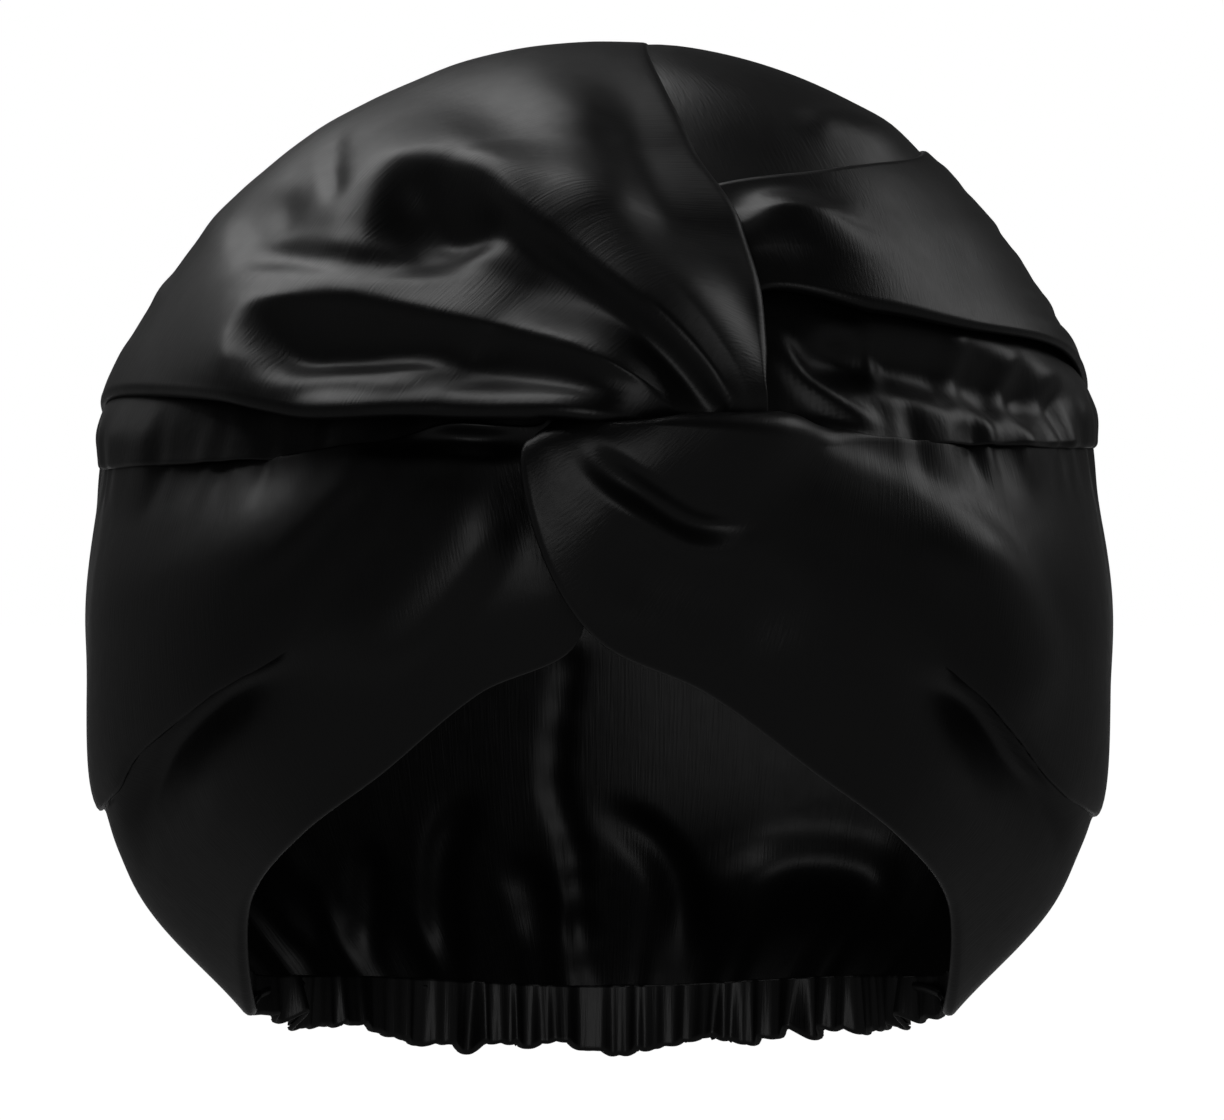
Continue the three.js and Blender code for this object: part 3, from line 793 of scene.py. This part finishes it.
def makeCasing():
    half = np.array(casingCloth["half"], float)
    knots = np.concatenate([half, half[-2::-1] * (-1, 1, 1)])
    spread = np.linspace(0, len(knots) - 1, casingCloth["samples"])
    line = sectionsAt(knots[:, None, :], spread, False)[:, 0]
    run = runAlong(line)

    def gathered(share, across):
        point = np.stack([np.interp(share * run[-1], run, line[:, k]) for k in range(3)], -1)
        outward = np.stack([point[:, 0], point[:, 1] - casingCloth["middle"], np.zeros_like(share)], -1)
        outward /= np.linalg.norm(outward, axis=1, keepdims=True)
        wave = sum(part * wander(share, waves, seed) for waves, part, seed in casingCloth["gathers"])
        free = 1 - across
        fromEnd = np.minimum(share, 1 - share)
        height = np.interp(fromEnd, *zip(*casingCloth["heights"]))
        clear = smooth(fromEnd * casingCloth["endFade"])
        point[:, 2] += casingCloth["tuck"] - free * (height + casingCloth["scallop"] * wave * clear)
        deeper = casingCloth["gatherTop"] + (1 - casingCloth["gatherTop"]) * free
        depth = casingCloth["gatherDepth"] * wave * deeper * clear
        depth = depth - casingCloth["endInside"] - (casingCloth["inside"] - casingCloth["endInside"]) * clear
        return point + outward * depth[:, None]

    def relief(points, place, across):
        return np.zeros_like(place)

    return clothSheet("casingCloth", casingCloth, 1, gathered, relief)


# One node of a material, with its settings and what feeds it.
def addNode(tree, kind, settings, feeds=()):
    node = tree.nodes.new(kind)
    for key, value in settings.items():
        if key in node.inputs:
            node.inputs[key].default_value = value
        else:
            setattr(node, key, value)
    for socket, source in feeds:
        tree.links.new(source, node.inputs[socket])
    return node


# Black polyester satin, woven with long floats that lie side by side: a deep black that turns to
# a soft grey shine wherever a fold faces the light.
satinFinish = {
    "colour": "#0e0e0f",
    "roughness": 0.4,
    "glossier": 0.04,        # how far the roughness strays, down and up
    "duller": 0.06,
    "shine": 0.5,
    "floatWidth": 0.5,       # real floats are 0.1 mm wide, too fine to show, so they are drawn coarser
    "floatLength": 9.0,
    "floatDepth": 0.12,
    "floatStrength": 0.45,
    "unevenness": 4.0,       # how far apart the weave's light and dull spots lie, mm
    "wrinkle": 14.0,         # how far apart the handling wrinkles lie, mm
    "wrinkleDepth": 0.6,
    "wrinkleStrength": 0.25,
}


def blackSatin(name, flat):
    finish = satinFinish
    material = bpy.data.materials.new(name)
    material.use_nodes = True
    tree = material.node_tree
    tree.nodes.clear()
    coords = addNode(tree, "ShaderNodeTexCoord", {})
    noise = addNode(tree, "ShaderNodeTexNoise", {"Scale": 1 / (finish["unevenness"] * mm), "Detail": 3.0},
                    [("Vector", coords.outputs["Object"])])
    gloss = addNode(tree, "ShaderNodeMapRange", {"To Min": finish["roughness"] - finish["glossier"],
                                                 "To Max": finish["roughness"] + finish["duller"]},
                    [("Value", noise.outputs["Fac"])])
    wrinkle = addNode(tree, "ShaderNodeTexNoise", {"Scale": 1 / (finish["wrinkle"] * mm), "Detail": 2.0},
                      [("Vector", coords.outputs["Object"])])
    soft = addNode(tree, "ShaderNodeBump",
                   {"Strength": finish["wrinkleStrength"], "Distance": finish["wrinkleDepth"] * mm},
                   [("Height", wrinkle.outputs["Fac"])])
    weave = addNode(tree, "ShaderNodeUVMap", {"uv_map": "weave"})
    along = flat[1] / (finish["floatWidth"] * mm)
    across = flat[0] / (finish["floatLength"] * mm)
    lay = addNode(tree, "ShaderNodeMapping", {"Scale": (along, across, 1)},
                  [("Vector", weave.outputs["UV"])])
    floats = addNode(tree, "ShaderNodeTexNoise", {"Scale": 1.0, "Detail": 1.0},
                     [("Vector", lay.outputs["Vector"])])
    bump = addNode(tree, "ShaderNodeBump",
                   {"Strength": finish["floatStrength"], "Distance": finish["floatDepth"] * mm},
                   [("Height", floats.outputs["Fac"]), ("Normal", soft.outputs["Normal"])])
    shader = addNode(tree, "ShaderNodeBsdfPrincipled",
                     {"Base Color": toLinear(finish["colour"]), "Specular IOR Level": finish["shine"]},
                     [("Roughness", gloss.outputs["Result"]), ("Normal", bump.outputs["Normal"])])
    addNode(tree, "ShaderNodeOutputMaterial", {}, [("Surface", shader.outputs["BSDF"])])
    return material


def dress(piece, node, satin, cloth):
    piece.data.materials.append(blackSatin(satin + "Satin", cloth["flat"]))
    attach(piece, "root")
    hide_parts(node)


def makeCamera(scene):
    lens = bpy.data.cameras.new("camera")
    lens.sensor_width = studio["sensor"]
    lens.sensor_fit = "HORIZONTAL"
    lens.lens = studio["sensor"] * -studio["cameraAt"][1] / studio["viewWidth"]
    lens.clip_end = studio["seenTo"]
    camera = bpy.data.objects.new("camera", lens)
    camera.location = [v * mm for v in studio["cameraAt"]]
    camera.rotation_euler = (np.pi / 2, 0, 0)
    scene.collection.objects.link(camera)
    scene.camera = camera
    print("camera set")


# A plain pale floor of matt paint. The haze stands in for the light that it throws up, so the satin
# doesn't mirror it.
def makeFloor(scene):
    mesh = bpy.data.meshes.new("floor")
    bm = bmesh.new()
    bmesh.ops.create_grid(bm, x_segments=1, y_segments=1, size=studio["floorReach"])
    bmesh.ops.translate(bm, verts=bm.verts, vec=(0, 0, cadBox[0][2] - studio["floorDrop"] * mm))
    bm.to_mesh(mesh)
    bm.free()
    floor = bpy.data.objects.new("floor", mesh)
    scene.collection.objects.link(floor)
    paint = bpy.data.materials.new("paleFloor")
    paint.use_nodes = True
    shader = paint.node_tree.nodes["Principled BSDF"]
    shader.inputs["Base Color"].default_value = toLinear(studio["floorColour"])
    shader.inputs["Roughness"].default_value = studio["floorRoughness"]
    shader.inputs["Emission Color"].default_value = (1, 1, 1, 1)
    shader.inputs["Emission Strength"].default_value = studio["floorGlow"]
    mesh.materials.append(paint)
    floor.visible_glossy = False
    floor.visible_diffuse = False
    print("floor laid")


# A white sky behind the cap, which lights it only by a haze that is brighter below than above.
def makeSky(scene):
    world = bpy.data.worlds.new("studio")
    scene.world = world
    world.use_nodes = True
    tree = world.node_tree
    tree.nodes.clear()
    low, high = studio["hazeSpan"]
    path = addNode(tree, "ShaderNodeLightPath", {})
    seen = addNode(tree, "ShaderNodeBackground", {"Color": (1, 1, 1, 1), "Strength": 1.0})
    way = addNode(tree, "ShaderNodeTexCoord", {})
    parts = addNode(tree, "ShaderNodeSeparateXYZ", {}, [("Vector", way.outputs["Generated"])])
    haze = addNode(tree, "ShaderNodeMapRange",
                   {"From Min": low, "From Max": high,
                    "To Min": studio["hazeBelow"], "To Max": studio["hazeAbove"]},
                   [("Value", parts.outputs["Z"])])
    dim = addNode(tree, "ShaderNodeBackground", {"Color": (1, 1, 1, 1)},
                  [("Strength", haze.outputs["Result"])])
    both = addNode(tree, "ShaderNodeMixShader", {},
                   [(0, path.outputs["Is Camera Ray"]), (1, dim.outputs[0]), (2, seen.outputs[0])])
    addNode(tree, "ShaderNodeOutputWorld", {}, [("Surface", both.outputs[0])])
    print("sky set")


def makeLamps(scene):
    for each in studio["lamps"]:
        lamp = bpy.data.lights.new(each["name"], "AREA")
        lamp.size = each["size"]
        lamp.energy = each["power"]
        holder = bpy.data.objects.new(each["name"], lamp)
        holder.location = each["at"]
        holder.visible_camera = False
        aim = np.array(each.get("aim", (0, 0, 0))) - each["at"]
        aim /= np.linalg.norm(aim)
        holder.rotation_euler = (np.arccos(-aim[2]), 0, np.arctan2(aim[1], aim[0]) - np.pi / 2)
        scene.collection.objects.link(holder)
    print("lamps hung:", len(studio["lamps"]))


crown = makeCrown()
wrap = makeWrap()
band = makeBand()
casing = makeCasing()
dress(crown, "crown", "crown", crownCloth)
dress(wrap, "crown_wrap", "wrap", wrapCloth)
dress(band, "front_band", "band", bandCloth)
dress(casing, "nape_casing", "casing", casingCloth)

room = bpy.context.scene
room.view_settings.view_transform = "Standard"
makeCamera(room)
makeFloor(room)
makeSky(room)
makeLamps(room)
